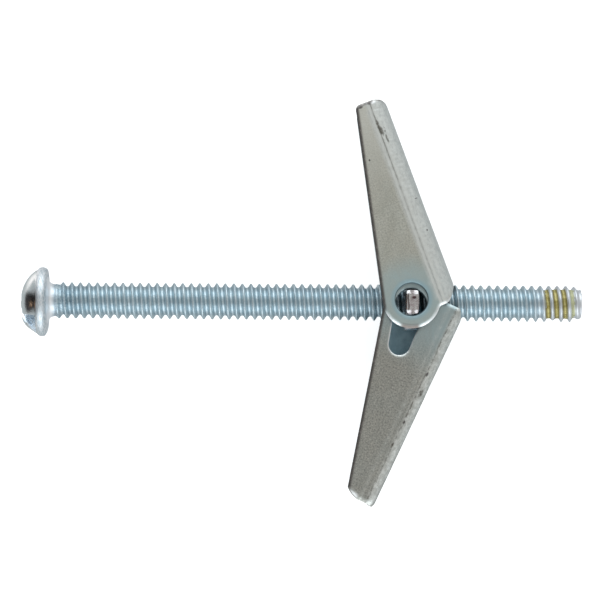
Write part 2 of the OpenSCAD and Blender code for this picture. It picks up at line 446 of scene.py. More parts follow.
def zinc_wing(wing):
    """Dull zinc plate, with marks placed on the flat sheet, and painted highlights and painted shade near its
    edges.
    """
    n = material_nodes("zinc_wing_" + wing.name)
    across = n.attribute("across")
    along = n.attribute("along")

    def on_sheet(scale, stretch_across, stretch_along, detail=6, rough=0.65):
        place = n.combine(n.times(across, stretch_across), n.times(along, stretch_along))
        return n.noise(scale, place, detail, rough)

    mottle = n.ramp(n.noise(0.55, n.coords((1.0, 0.55, 1.0)), detail=6, rough=0.6, distort=0.6), 0.32, 0.68)
    grain = on_sheet(6.5, 1, 1, rough=0.75)
    draw_lines = on_sheet(1.6, 2.4, 0.16)
    flecks = on_sheet(2.6, 1.6, 0.6, detail=7, rough=0.8)
    smear = n.times(n.ramp(on_sheet(2.2, 1, 0.5, rough=0.8), 0.38, 0.55), 0.85)
    bluish = tuple((a + b) / 2 for a, b in zip(wing.dark, (0.42, 0.60, 0.66)))
    open_edge_shade_colour = n.mix(n.ramp(flecks, 0.50, 0.62), (0.15, 0.135, 0.13), (0.30, 0.27, 0.26))

    def marks(spots, cover, colour):
        return [(n.times(n.spot((across, along), *spot), cover), colour) for spot in spots]

    colour = n.paint(
        n.mix(mottle, wing.dark, wing.light),
        (n.times(n.ramp(n.noise(0.22, detail=3), 0.35, 0.65), 0.55), wing.warm),
        (n.ramp(draw_lines, 0.45, 0.72, 0.0, 0.45), wing.dark),
        (n.ramp(grain, 0.42, 0.66, 0.0, wing.grain), tuple(0.55 * v for v in wing.dark)),
        (n.ramp(grain, 0.46, 0.30, 0.0, wing.grain), tuple(1.25 * v for v in wing.light)),
        (n.times(n.attribute("near"), n.ramp(mottle, 0.0, 1.0, 0.75, 1.0)), bluish),
        *wing.crease(n, across, along, flecks),
        *marks(wing.smears, smear, (0.11, 0.10, 0.08)),
        *marks(wing.pits, 0.85, (0.08, 0.07, 0.07)),
        *marks(wing.glints, 1.0, (1.0, 1.0, 1.0)),
        (n.times(n.attribute("ring"), 0.6), (0.36, 0.54, 0.62)),
        # the tips' darker edges: their own dark sheared edges, deepened by painted shade over the lamp's
        # reflection
        (n.times(n.attribute("tip"), n.ramp(flecks, 0.62, 0.40, 0.45, 1.0)), (0.36, 0.33, 0.31)),
        # painted shade, flecked, along the open edges and the upper wing's tip
        (n.times(n.ramp(n.attribute("open_edge_shade"), 0.05, 0.75), 0.88), open_edge_shade_colour),
        # painted shade, brown, on the upper ear's rim between its painted highlights
        (n.attribute("ear_rim_shade"), (0.21, 0.18, 0.165)),
        # painted highlights, white, on the upper ear rim's flanks, the lower tip's chamfer and the slot's lip
        (n.attribute("bright"), (1.0, 1.0, 1.0)),
        # painted shade: thin dark outlines round the hinge hole and the slot's end by the hinge
        (n.ramp(n.attribute("outline"), 0.15, 0.8, 0.0, 0.9), (0.055, 0.085, 0.10)),
    )
    normal = n.bump(n.plus(n.times(grain, 0.7), n.times(draw_lines, 0.5)), 0.8, 0.03)
    normal = n.bump(n.noise(1.6, detail=3), 0.25, 0.1, normal)
    return n.metal(colour, n.ramp(grain, lo=0.30, hi=0.46), normal)


# ---- screw ----

SCREW = zinc_screw()
PATCH = locking_patch()
RECESS = zinc_recess()

THREAD_START = 0.74
THREAD_END = LENGTH - 0.04
PATCH_START = 46.15
PATCH_END = 49.15
NICK_X = 47.05  # of a nick in the crest there, on the side away from +Y
# Fractions of a pitch where the thread has a row of points, and the profile's height there
FLANK = [0, 0.06, 0.12, 0.21, 0.30, 0.37, 0.43, 0.5]
FLANK_HEIGHT = [1, 0.97, 0.82, 0.52, 0.22, 0.06, 0.01, 0]
ROW_PLACES = [0, 0.06, 0.12, 0.21, 0.30, 0.37, 0.5, 0.63, 0.70, 0.79, 0.88, 0.94]


def thread_phase(x, a):
    """Pitches from the first crest, at x and at angle a from +Y towards +Z."""
    return (x - CREST_X) / PITCH - a / FULL_TURN


def thread_height(phase):
    """Height of the thread's profile, 0 at the root and 1 at the crest."""
    return np.interp(np.abs(phase - np.round(phase)), FLANK, FLANK_HEIGHT)


def thread_radius(x, a):
    """Radius of the bare screw: the thread grows out of the neck and is flattened at the end."""
    flattening = 0.295
    height = thread_height(thread_phase(x, a))
    crest = NECK_R + (THREAD_R - NECK_R) * smooth(0.66, 1.12, x)
    crest = np.minimum(crest, THREAD_R - flattening * smooth(LENGTH - 0.95, LENGTH - 0.08, x))
    root = NECK_R + (ROOT_R - NECK_R) * smooth(0.9, 1.55, x)
    wobble = 0.012 * np.sin(3 * a + x * 2.1) * np.sin(x * 1.3 + a)
    nick = 0.24 * bell(x - NICK_X, 0.22) * bell(a - pi * 1.02, 0.30)
    return np.minimum(root + (crest - root + wobble - nick) * height, THREAD_R)


def patch_radius(x, a):
    """Radius of the dried locking patch, which fills the roots near the end on the side towards +Z."""
    along = smooth(PATCH_START, PATCH_START + 0.3, x) * smooth(PATCH_END, PATCH_END - 0.4, x)
    side = smooth(-1.35, -1.15, a - pi / 2) * smooth(1.5, 1.25, a - pi / 2)
    ripple = 0.02 * np.sin(a * 7 + x * 3) + 0.015 * np.sin(a * 13 - x * 5)
    return (1.45 + ripple) * (along * side > 0.02) * (0.85 + 0.15 * along * side)


def thread_mesh(angles):
    """The threaded shank as a helical grid, with the patch's faces in the second material."""
    turns = range(-3, 62)
    base = np.array([CREST_X + PITCH * (turn + place) for turn in turns for place in ROW_PLACES])
    x = np.clip(base[:, None] + PITCH * angles[None, :] / FULL_TURN, THREAD_START, THREAD_END)
    a = np.broadcast_to(angles[None, :], x.shape)
    r_metal = thread_radius(x, a)
    r_patch = patch_radius(x, a)
    r = np.maximum(r_metal, r_patch)
    verts = np.stack([x, r * np.cos(a), r * np.sin(a)], -1).reshape(-1, 3)
    faces = [quad[::-1] for quad in closed_bands(len(base), len(angles), wrap=len(ROW_PLACES))]
    mesh = bpy.data.meshes.new("screw_threaded")
    mesh.from_pydata([tuple(v) for v in verts], [], faces)
    mesh.materials.append(SCREW)
    mesh.materials.append(PATCH)
    patched = (r_patch > r_metal + 0.004).ravel()[np.array(faces)].sum(1) >= 2
    mesh.polygons.foreach_set("material_index", patched.astype(np.int32))
    phase = thread_phase(x, a)
    depth = 1 - thread_height(phase)
    set_attributes(
        mesh,
        # where the thread's painted groove shade falls: low on the flanks, not at the very root
        groove=smooth(0.45, 0.8, depth) * smooth(1.0, 0.93, depth) * smooth(0.9, 1.9, x),
        # where the patch is thin and carries its painted shade: away from each root's middle
        thin=smooth(0.49, 0.38, np.abs(phase - np.round(phase))),
    )
    return mesh


def rim_at(bm, x, angles):
    """For each angle, the point nearest to it of those at x."""
    rim = {atan2(v.co.z, v.co.y): v for v in bm.verts if abs(v.co.x - x) < 1e-3}
    return [rim[min(rim, key=lambda turn: abs((turn - angle + pi) % FULL_TURN - pi))] for angle in angles]


def add_ring(bm, xs, radii, angles):
    return [bm.verts.new((x, r * cos(a), r * sin(a))) for x, r, a in zip(xs, radii, angles)]


def bridge(bm, ring, other):
    """Faces between two rings, except where a point of either is used twice."""
    for i in range(len(ring)):
        if ring[i - 1] != ring[i] and other[i - 1] != other[i]:
            bm.faces.new((ring[i - 1], ring[i], other[i], other[i - 1]))


def make_screw():
    cols = 84
    angles = FULL_TURN * np.arange(cols) / cols
    mesh = thread_mesh(angles)
    bm = bmesh.new()
    bm.from_mesh(mesh)
    bmesh.ops.remove_doubles(bm, verts=bm.verts, dist=1e-4)
    bmesh.ops.dissolve_degenerate(bm, edges=bm.edges, dist=1e-5)
    # the fillet under the head, and the neck
    fillet = 0.72
    last_ring = None
    for t in np.linspace(0, pi / 2, 9):
        x = fillet * (1 - cos(t))
        ring = add_ring(bm, np.full(cols, x), np.full(cols, NECK_R + fillet * (1 - sin(t))), angles)
        if last_ring:
            bridge(bm, last_ring, ring)
        last_ring = ring
    bridge(bm, last_ring, rim_at(bm, THREAD_START, angles))
    # the sheared end, slightly bulged
    last_ring = rim_at(bm, THREAD_END, angles)
    radii = np.array([hypot(v.co.y, v.co.z) for v in last_ring])
    for share, rise in ((0.93, 0.03), (0.8, 0.045), (0.5, 0.04), (0.2, 0.045)):
        ring = add_ring(bm, THREAD_END + rise + 0.012 * np.sin(2 * angles + share * 9), share * radii, angles)
        bridge(bm, last_ring, ring)
        last_ring = ring
    bm.faces.new(last_ring)
    bmesh.ops.recalc_face_normals(bm, faces=bm.faces)
    bm.to_mesh(mesh)
    bm.free()
    mesh.transform(Matrix.Scale(MM, 4))
    mesh.shade_smooth()
    return join(new_object("screw_threaded", mesh), make_head())


def head_blank():
    """The head without its recess: a dome, with the lip that the slot's end raises, and a turned rim."""
    cols = 120
    rim_x = 0.96
    turns = np.linspace(0, acos(rim_x / HEAD_H), 22)[1:]
    dome = [(-HEAD_H * cos(t), HEAD_R * sin(t)) for t in turns]
    rim = [
        (-0.88, 3.075), (-0.78, 3.145), (-0.66, 3.20), (-0.52, HEAD_R), (-0.40, 3.215), (-0.28, 3.175),
        (-0.17, 3.09), (-0.07, 2.96), (-0.015, 2.85), (0.0, 2.78), (0.0, 2.4), (0.0, 1.9),
    ]
    profile = dome + rim
    verts = []
    for x, r in profile:
        shift = HEAD_SHIFT * smooth(0.1, -0.3, x)
        lip_here = 0.25 * smooth(1.15, 1.75, r) * smooth(2.95, 2.2, r) * smooth(-0.9, -1.3, x)
        for t in FULL_TURN * np.arange(cols) / cols:
            wave = 1 + 0.0035 * sin(2 * t + 1.0) * smooth(-1.2, -0.4, x)
            lip = lip_here * bell(t - radians(192), 0.30)
            verts.append((x - lip, r * wave * cos(t) + shift, r * wave * sin(t)))
    faces = closed_bands(len(profile), cols)
    apex = len(verts)
    verts.append((-HEAD_H, HEAD_SHIFT, 0))
    faces += [(apex, (j + 1) % cols, j) for j in range(cols)]
    faces.append(tuple(range(apex - cols, apex)))
    head = mesh_object("screw_head", verts, faces, SCREW, sharp=35)
    outward_normals(head)
    return head


def recess_cutters():
    """The driver's slot with its broken-open end, and the two wedges of the cross."""
    lift = Matrix.Translation((0, HEAD_SHIFT * MM, 0))
    turn = Matrix.Rotation(radians(65), 4, "X")
    slot_half, slot_start, slot_end = 0.5, -0.7, 4
    slot_floor = -HEAD_H + 1.4
    above = -4.2
    slot = prism("slot", rectangle(above, slot_half, slot_start, slot_end),
                 rectangle(slot_floor, slot_half, slot_start, slot_end), RECESS, lift @ turn)
    # the near side of the slot's end is broken away, which opens it towards the front
    break_line = [(-1.14, 0.01), (-1.14, 4), (-4, 4), (-4, 1.2), (-2.3, 0.52), (-1.75, 0.34)]
    top, bottom = [[(x, y - slant, z) for y, z in break_line] for x, slant in ((-4.0, -0.12), (-0.98, 0.16))]
    opening = prism("opening", top, bottom, RECESS, lift)
    wide, narrow = rectangle(-HEAD_H - 0.3, 0.4, -1.1, 1.1), rectangle(-HEAD_H + 1.9, 0.25, -0.45, 0.45)
    quarters = [Matrix.Rotation(radians(quarter), 4, "X") for quarter in (0, 90)]
    cross = [prism("cross", wide, narrow, RECESS, lift @ turn @ quarter) for quarter in quarters]
    return [slot, opening, *cross]


def make_head():
    head = head_blank()
    carve(head, recess_cutters(), bevel=0.045, steps=2, sharp=28)
    x = np.array([v.co.x / MM for v in head.data.vertices])
    set_attributes(head.data, head=np.ones(len(x)), rim=smooth(-0.99, -0.88, x))
    smooth_shading(head.data, 40)
    return head


# ---- wings ----

INSIDE = zinc_hidden("zinc_inside", (0.44, 0.61, 0.68), (0.31, 0.45, 0.52), 0.34)
SHEARED = zinc_hidden("zinc_sheared", (0.22, 0.23, 0.24), (0.14, 0.15, 0.16), 0.45)


def curve(start, towards, end, steps=8):
    """Points of a curve from start to end, drawn towards a third point."""
    shares = np.linspace(0, 1, steps + 1)
    return [(1 - t) ** 2 * start + 2 * t * (1 - t) * towards + t * t * end for t in shares]


def flange_side(wing, edge, ear, end_s, tip, stop):
    """A flange's outline in (towards the web, along the wing). It runs from the web's end at end_s, round the
    ear and along the open edge, to the tip, whose corner is cut by two lengths and bulges by a share."""
    slope = radians(wing.taper)
    step = 0.16
    fillet = 0.55
    fillet_s = end_s - fillet
    fillet_at = (sqrt((ear + fillet) ** 2 - fillet_s ** 2), fillet_s)
    fillet_turn = degrees(atan2(fillet_s, fillet_at[0]))
    meet = degrees(acos(min(1, edge / ear)))
    corner = np.array([(wing.length * sin(slope) - edge) / cos(slope), wing.length])
    across_cut, along_cut, bulge = tip
    tip_start = corner - along_cut * np.array([tan(slope), 1])
    tip_end = corner + np.array([across_cut, 0])
    middle = (tip_start + tip_end) / 2
    points = [(stop, end_s)]
    points += arc_points(fillet_at, fillet, 90, 180 + fillet_turn, step)
    points += arc_points((0, 0), ear, fillet_turn, -180 - wing.taper - meet, step)[1:]
    points += curve(tip_start, middle + bulge * (corner - middle), tip_end)
    return points + [(stop, wing.length)]


def resample(points, step):
    """A closed outline, with points added wherever they are further apart than step."""
    points = np.array([*points, points[0]], float)
    out = []
    for p, q in zip(points[:-1], points[1:]):
        gap = np.linalg.norm(q - p)
        if gap > 1e-9:
            count = ceil(gap / step)
            out += [p + (q - p) * i / count for i in range(count)]
    return np.array(out)


def in_polygon(points, loop):
    x, y = points.T
    inside = np.zeros(len(points), bool)
    for (ax, ay), (bx, by) in zip(loop, np.roll(loop, -1, 0)):
        crosses = (ay > y) != (by > y)
        inside ^= crosses & (x < (bx - ax) * (y - ay) / (by - ay + 1e-30) + ax)
    return inside


def in_sheet(points, loops):
    outline, *holes = [in_polygon(points, loop) for loop in loops]
    return outline & ~np.any(holes, 0)


def distance_to(points, loops):
    """Distance from each point to the nearest edge of the loops."""
    gaps = []
    for loop in loops:
        edge = np.roll(loop, -1, 0) - loop
        share = np.clip(((points[:, None] - loop) * edge).sum(2) / (edge ** 2).sum(1), 0, 1)
        nearest = loop + share[..., None] * edge
        gaps.append(np.sqrt(((points[:, None] - nearest) ** 2).sum(2)).min(1))
    return np.min(gaps, 0)


def edge_rings(loops):
    """Points on rings inside the sheet that follow its edges, dense beside them."""
    rings, depths = [], []
    for depth in (0.05, 0.12, 0.21, 0.33, 0.48):
        for loop in loops:
            tangent = np.roll(loop, -1, 0) - np.roll(loop, 1, 0)
            normal = np.stack([-tangent[:, 1], tangent[:, 0]], 1) / np.linalg.norm(tangent, axis=1)[:, None]
            for side in (depth, -depth):
                rings.append(loop + side * normal)
                depths.append(np.full(len(loop), depth))
    rings, depths = np.concatenate(rings), np.concatenate(depths)
    keep = in_sheet(rings, loops)
    keep[keep] = distance_to(rings[keep], loops) > 0.93 * depths[keep]
    return thinned(rings[keep])


def thinned(points, gap=0.045, cell=0.055):
    """Leaves out each point that is closer than gap to one kept before it."""
    kept, last_in = [], {}
    for p in map(tuple, points):
        col, row = round(p[0] / cell), round(p[1] / cell)
        beside = [last_in.get((col + i, row + j)) for i in (-1, 0, 1) for j in (-1, 0, 1)]
        if all(q is None or dist(p, q) >= gap for q in beside):
            last_in[col, row] = p
            kept.append(p)
    return np.array(kept)


def inner_grid(loops, step=0.42):
    """A grid of points over the rest of the sheet, finer across its two bends."""
    (low_u, low_s), (high_u, high_s) = loops[0].min(0), loops[0].max(0)
    us = np.concatenate([
        np.arange(low_u, 0, step), np.linspace(0, WEB_START, 13)[:-1], np.arange(WEB_START, WEB_END, step),
        np.linspace(WEB_END, INNER_START, 8)[:-1], np.arange(INNER_START, high_u, step),
    ])
    ss = np.arange(low_s, high_s, step)
    grid = np.array([(u, s + 0.12 * (i % 2)) for i, u in enumerate(us) for s in ss])
    grid = grid[in_sheet(grid, loops)]
    return grid[distance_to(grid, loops) > 0.62]


def triangulate(loops):
    """The flat sheet's points and its triangles, all turned the same way round."""
    points = np.concatenate([*loops, edge_rings(loops), inner_grid(loops)])
    edges = []
    for loop in loops:
        first, count = len(edges), len(loop)
        edges += [(first + i, first + (i + 1) % count) for i in range(count)]
    made = geometry.delaunay_2d_cdt([Vector(p) for p in points], edges, [], 0, 1e-7, True)
    flat = np.array([tuple(v) for v in made[0]])
    tris = np.array([face for face in made[2] if len(face) == 3])
    tris = tris[in_sheet(flat[tris].mean(1), loops)]
    a, b = flat[tris[:, 1]] - flat[tris[:, 0]], flat[tris[:, 2]] - flat[tris[:, 0]]
    area = a[:, 0] * b[:, 1] - a[:, 1] * b[:, 0]
    return flat, np.where((area < 0)[:, None], tris[:, ::-1], tris)


class Wing:
    """One wing, laid out flat and then folded. A flat place is (u, s): u across the middle of the sheet from
    the outer flange's bend, and s along the wing from the hinge line."""

    inner_tip = (1.1, 0.66, 0.45)
    glints = []

    def strip(self, n, web_tone_and_sheen, light_line, dark_line):
        """Coats of the web beside the outer flange, lightened partly as painted sheen, and of the two lines
        along its bend.
        """
        web = n.times(n.attribute("strip"), 0.85)
        return [(web, web_tone_and_sheen), (light_line, (0.84, 0.85, 0.82)), (dark_line, (0.17, 0.16, 0.14))]

    def outer_u(self, h):
        """Where the outer flange is at distance h from the hinge line towards the web."""
        return h - (self.web - BEND_OUT)

    def inner_u(self, h):
        """The same on the inner flange. It also gives h for a place u there."""
        return INNER_START + (self.web - BEND_IN) - h

    def loops(self):
        """The flat sheet's outline, its hinge hole and its slot."""
        outer_edge, inner_edge = self.edges
        outer = flange_side(self, outer_edge, EAR_R, -1.46, self.outer_tip, self.web - BEND_OUT + 0.25)
        inner = flange_side(self, inner_edge, INNER_EAR_R, -1.58, self.inner_tip, self.web - BEND_IN - 0.05)
        outline = [(self.outer_u(h), s) for h, s in outer]
        outline += [(u, self.length - drop) for u, drop in self.tip_drops + [(INNER_START, 0)]]
        outline += [(self.inner_u(h), s) for h, s in inner[::-1]]
        # the web's hinge end, cut back for the screw
        outline += [
            (INNER_START - 0.15, -1.56), (WEB_END + 0.35, -1.36), (WEB_END + 0.05, -0.95),
            (WEB_END - 0.35, self.notch - 0.25), (WEB_END - 0.75, self.notch),
            (WEB_START + 0.85, self.notch), (WEB_START + 0.1, self.notch - 0.37),
        ]
        by_bend = ((77, self.notch - 0.45), (58, self.notch - 0.75), (36, -1.1), (22, -1.38))
        outline += [(OUTER_BEND_R * radians(turn), s) for turn, s in by_bend]
        hole = [(self.outer_u(h), s) for h, s in arc_points((0, 0), HOLE_R, 0, 360, 0.13)[:-1]]
        along = degrees(atan2(SLOT_END[1], SLOT_END[0]))
        lift = degrees(acos((SLOT_R - SLOT_END_R) / hypot(*SLOT_END)))
        slot = arc_points((0, 0), SLOT_R, along + lift, along + 360 - lift, 0.13)
        slot += arc_points(SLOT_END, SLOT_END_R, along - lift, along + lift, 0.13)
        slot = [(self.inner_u(h), s) for h, s in slot]
        return [resample(outline, 0.2), np.array(hole), resample(slot, 0.2)]

    def placed(self, offset):
        """The sheet's points at an offset from its middle, folded, leaned and put on the hinge."""
        u, s = self.u, self.s + PLAY
        outer_turn = np.clip(u / OUTER_BEND_R, 0, pi / 2)
        inner_turn = np.clip((u - WEB_END) / INNER_BEND_R, 0, pi / 2)
        turn = outer_turn + inner_turn
        down_web = np.clip(u - WEB_START, 0, WEB_END - WEB_START)
        past_bends = np.maximum(u - INNER_START, 0)
        # h is towards the web
        h = self.web - BEND_OUT + np.minimum(u, 0) + OUTER_BEND_R * np.sin(outer_turn)
        h += INNER_BEND_R * (np.cos(inner_turn) - 1) - past_bends + offset * np.sin(turn)
        z = Z_OUT - BEND_OUT + OUTER_BEND_R * np.cos(outer_turn) - down_web
        z += offset * np.cos(turn) - INNER_BEND_R * np.sin(inner_turn)
        lean = radians(self.lean)
        x = NUT_X + h * cos(lean) - s * sin(lean)
        y = h * sin(lean) + s * cos(lean)
        return np.stack([x, -y, -z] if self.flip else [x, y, z], 1)

    def outline_roll(self, edge_share, ear_share):
        """How far the outer face rolls over at its outline, more round the ear."""
        edge = 0.11 * fade(self.to_edge, 0.34) ** 2 * edge_share
        return np.maximum(edge, 0.16 * fade(self.to_edge, 0.38) ** 1.8 * ear_share)

    def faces_of_sheet(self):
        """Offsets of the outer face, which rolls over at its edges, and of the inner one."""
        roll = np.maximum(0.05 * fade(self.to_hole, 0.34) ** 2, 0.09 * fade(self.to_slot, 0.28) ** 2.2)
        roll = np.maximum(roll, self.edge_roll())
        wave = 0.012 * np.sin(self.s * 0.55 + self.u * 0.3) + 0.006 * np.sin(self.s * 1.7 - self.u * 0.9)
        dent = np.minimum(wave * np.minimum(self.to_hole / 1.5, 1), 0)
        to_edge = np.minimum(np.minimum(self.to_edge, self.to_hole), self.to_slot)
        return SHEET_T / 2 - 0.004 - roll + dent, -SHEET_T / 2 + 0.02 * fade(to_edge, 0.08) + dent

    def make(self):
        """The wing's mesh: an outer face, an inner one, and sheared walls of three strips between them."""
        loops = self.loops()
        flat, tris = triangulate(loops)
        self.u, self.s = flat.T
        self.to_edge, self.to_hole, self.to_slot = [distance_to(flat, [loop]) for loop in loops]
        self.by_ear = smooth(0.6, -0.6, self.s)
        self.at_tip = smooth(16.6, 17.3, self.s) * fade(self.to_edge, 0.33, 1.15)
        count = len(flat)
        top, under = self.faces_of_sheet()
        faces = [tuple(t[::-1]) for t in tris.tolist()] + [tuple(t) for t in (tris + count).tolist()]
        rim = open_sides(tris.tolist())
        border = list(dict.fromkeys(v for side in rim for v in side))
        upper = {v: 2 * count + i for i, v in enumerate(border)}
        for a, b in rim:
            down_a, down_b = [(v, upper[v], upper[v] + len(border), v + count) for v in (a, b)]
            faces += [(down_a[i], down_b[i], down_b[i + 1], down_a[i + 1]) for i in range(3)]
        layers = [self.placed(top), self.placed(under)]
        layers += [self.placed(share * top + (1 - share) * under)[border] for share in (0.55, 0.1)]
        name = self.name + "_wing_sheet"
        obj = mesh_object(name, np.concatenate(layers), faces, zinc_wing(self), INSIDE, SHEARED, sharp=38)
        kinds = [0] * len(tris) + [1] * len(tris) + [2] * (len(faces) - 2 * len(tris))
        obj.data.polygons.foreach_set("material_index", kinds)
        outward_normals(obj)
        set_attributes(
            obj.data,
            across=self.u,
            along=self.s,
            strip=smooth(-0.42, -0.24, self.u) * smooth(INNER_START + 0.16, INNER_START - 0.02, self.u),
            ring=smooth(0.55, 0.22, self.to_hole),
            # where the painted shade outlines the hinge hole and the slot near the hinge
            outline=np.maximum(fade(self.to_hole, 0.13), fade(self.to_slot, 0.12) * smooth(2.2, 1.2, self.s)),
            **self.marks_and_painted_light(),
        )
        return obj


class UpperWing(Wing):
    name = "upper"
    lean = 20.8
    taper = 12.5
    web = 4.21
    edges = (2.67, 2.42)
    length = 18.5
    flip = False
    notch = 0.22
    outer_tip = (0.45, 0.4, 1.0)
    tip_drops = [
        (0.45, 0.0), (0.72, 0.08), (1.11, 0.18), (1.64, 0.42),
        (WEB_START, 0.6), (WEB_MIDDLE, 0.5), (WEB_END, 0.2),
    ]
    light = (0.66, 0.66, 0.60)
    dark = (0.53, 0.53, 0.47)
    warm = (0.62, 0.59, 0.52)
    grain = 0.6
    # marks on the flat sheet, each with its centre and its two radii
    smears = [
        ((0.06, 16.2), (0.16, 0.6)), ((0.16, 15.5), (0.22, 0.6)),
        ((0.42, 15.6), (0.10, 0.4)), ((0.38, 14.7), (0.12, 0.5)),
    ]
    pits = [
        ((-1.78, 13.36), (0.11, 0.13)), ((0.87, 5.5), (0.10, 0.12)), ((0.95, 8.6), (0.2, 0.06)),
        ((-0.86, 18.22), (0.28, 0.17)), ((0.0, 18.32), (0.18, 0.2)),
    ]
    glints = [((0.34, 18.25), (0.24, 0.16))]

    def crease(self, n, across, along, flecks):
        """Coats of the paler tip, the web with its painted sheen, and the scuffed crease along the bend."""
        # the web's flecked tone, lightened partly as painted sheen
        web_tone_and_sheen = n.mix(n.ramp(flecks, 0.42, 0.62), (0.80, 0.81, 0.79), (0.64, 0.655, 0.64))
        offset = n.minus(across, n.plus(-0.02, n.times(along, 0.004)))
        broken = n.ramp(flecks, 0.35, 0.6, 0.45, 1.0)
        light_line = n.times(n.plus(n.near(offset, -0.20, 0.15), n.near(offset, 0.21, 0.20)), 0.6)
        dark_line = n.times(n.near(offset, 0.0, 0.085), broken, n.ramp(along, 9, 14, 0.32, 0.75))
        tip = (n.ramp(along, 8, 18, 0.0, 0.6), (0.80, 0.79, 0.73))
        return [tip, *self.strip(n, web_tone_and_sheen, light_line, dark_line)]

    def edge_roll(self):
        """Less at the web's hinge end, which the ear's own roll doesn't reach."""
        web_end = smooth(0.5, 1.0, self.u) * smooth(1.0, 0.0, self.s)
        return self.outline_roll(1 - 0.6 * web_end, self.by_ear * smooth(1.0, 0.5, self.u))

    def marks_and_painted_light(self):
        """Painted shade on the open edge and tip; painted highlights on the ear rim's flanks, brown painted
        shade between.
        """
        from_hinge = self.u - self.outer_u(0)
        turn = np.degrees(np.arctan2(self.s, from_hinge)) + self.lean
        left_flank = smooth(-158, -146, turn) * smooth(-108, -122, turn)
        flanks = np.maximum(smooth(-78, -62, turn) * smooth(8, 0, turn), left_flank)
        past_ear = smooth(-0.6, 0.4, self.s - 0.45 * (from_hinge + EAR_R))
        return dict(
            near=smooth(4.6, 2.4, np.hypot(from_hinge, self.s)),
            # painted shade along the outer flange's open edge and tip
            open_edge_shade=fade(self.to_edge, 0.30, 1.25) * smooth(0.6, 0.0, self.u) * past_ear,
            # darker tip: its own dark sheared edge, deepened by painted shade
            tip=self.at_tip * smooth(-0.1, 0.2, self.u),
            # painted highlights, white, on the ear rim's flanks
            bright=0.9 * fade(self.to_edge, 0.26, 1.15) * flanks * self.by_ear,
            # painted shade, brown, on the ear rim between its painted highlights, dimming the lamp's
            # reflection there
            ear_rim_shade=fade(self.to_edge, 0.3, 1.6) * smooth(-122, -106, turn) * smooth(-66, -78, turn),
        )


class LowerWing(Wing):
    name = "lower"
    lean = 24.85
    taper = 14.05
    web = 4.84
    edges = (2.2, 2.47)
    length = 18.35
    flip = True
    notch = -0.42
    outer_tip = (1.5, 0.95, 0.3)
    tip_drops = [
        (0.5 * WEB_START, 0), (WEB_START, 0.1), (WEB_MIDDLE, 0.1),
        (WEB_END, -0.10), (INNER_START - 0.2, -0.05),
    ]
    light = (0.52, 0.51, 0.47)
    dark = (0.40, 0.40, 0.37)
    warm = (0.48, 0.45, 0.40)
    grain = 0.95
    smears = [
        ((INNER_START - 0.12, 7.0), (0.16, 0.5)), ((INNER_START + 0.1, 8.4), (0.1, 0.5)),
        ((INNER_START + 0.16, 12.5), (0.13, 0.3)),
    ]
    pits = [((INNER_START + 0.05, 10.1), (0.1, 0.22)), ((INNER_START + 0.02, 5.2), (0.1, 0.3))]

    def crease(self, n, across, along, flecks):
        # the web's flecked tone, lightened partly as painted sheen
        web_tone_and_sheen = n.mix(n.ramp(flecks, 0.36, 0.60), (0.88, 0.88, 0.85), (0.54, 0.54, 0.51))
        offset = n.minus(across, INNER_START)
        light_line = n.times(n.near(offset, 0.75, 0.35), n.ramp(flecks, 0.5, 0.4, 0.3, 1.0), 0.35)
        dark_line = n.times(n.near(offset, 0.12, 0.14), n.ramp(flecks, 0.42, 0.58), 0.75)
        return self.strip(n, web_tone_and_sheen, light_line, dark_line)

    def edge_roll(self):
        """More at the tip."""
        tip = 0.17 * smooth(16.9, 17.5, self.s) * fade(self.to_edge, 0.52) ** 1.7
        return np.maximum(self.outline_roll(1, self.by_ear), tip)

    def marks_and_painted_light(self):
        """Painted shade on the open edge, and painted highlights on the slot's lip and the tip's chamfer in a
        dark outline.
        """
        from_hinge = self.inner_u(self.u)
        on_flange = smooth(INNER_START - 0.5, INNER_START, self.u)
        between = smooth(-1.0, 0.5, self.s) * smooth(17.9, 17.4, self.s)
        corner = smooth(17.7, 17.95, self.s) * smooth(3.2, 2.85, from_hinge)
        corner_outline = 0.8 * fade(self.to_edge, 0.12, 1.2) * corner
        chamfer = fade(self.to_edge, 0.42, 1.35) * smooth(0.04, 0.16, self.to_edge) * corner
        slot_centre = self.inner_u(SLOT_END[0])
        lip = 0.4 + 0.6 * smooth(slot_centre, slot_centre + 0.8, self.u)
        return dict(
            near=smooth(6.5, 1.5, np.hypot(np.minimum(0, from_hinge - 1.5) * 0.5, self.s + 0.5)),
            # painted shade along the inner flange's open edge
            open_edge_shade=fade(self.to_edge, 0.28, 1.3) * on_flange * between,
            # a darker tip end, and a dark outline round the chamfer's painted highlight
            tip=np.maximum(0.25 * self.at_tip * smooth(18.2, 18.3, self.s), corner_outline),
            # painted highlights, white, on the tip's chamfer and along the slot's lip
            bright=chamfer + lip * fade(self.to_slot, 0.11, 1.25) * smooth(1.9, 2.5, self.s),
        )


# ---- nut and spring ----

NUT = zinc_nut()
WIRE = spring_wire()


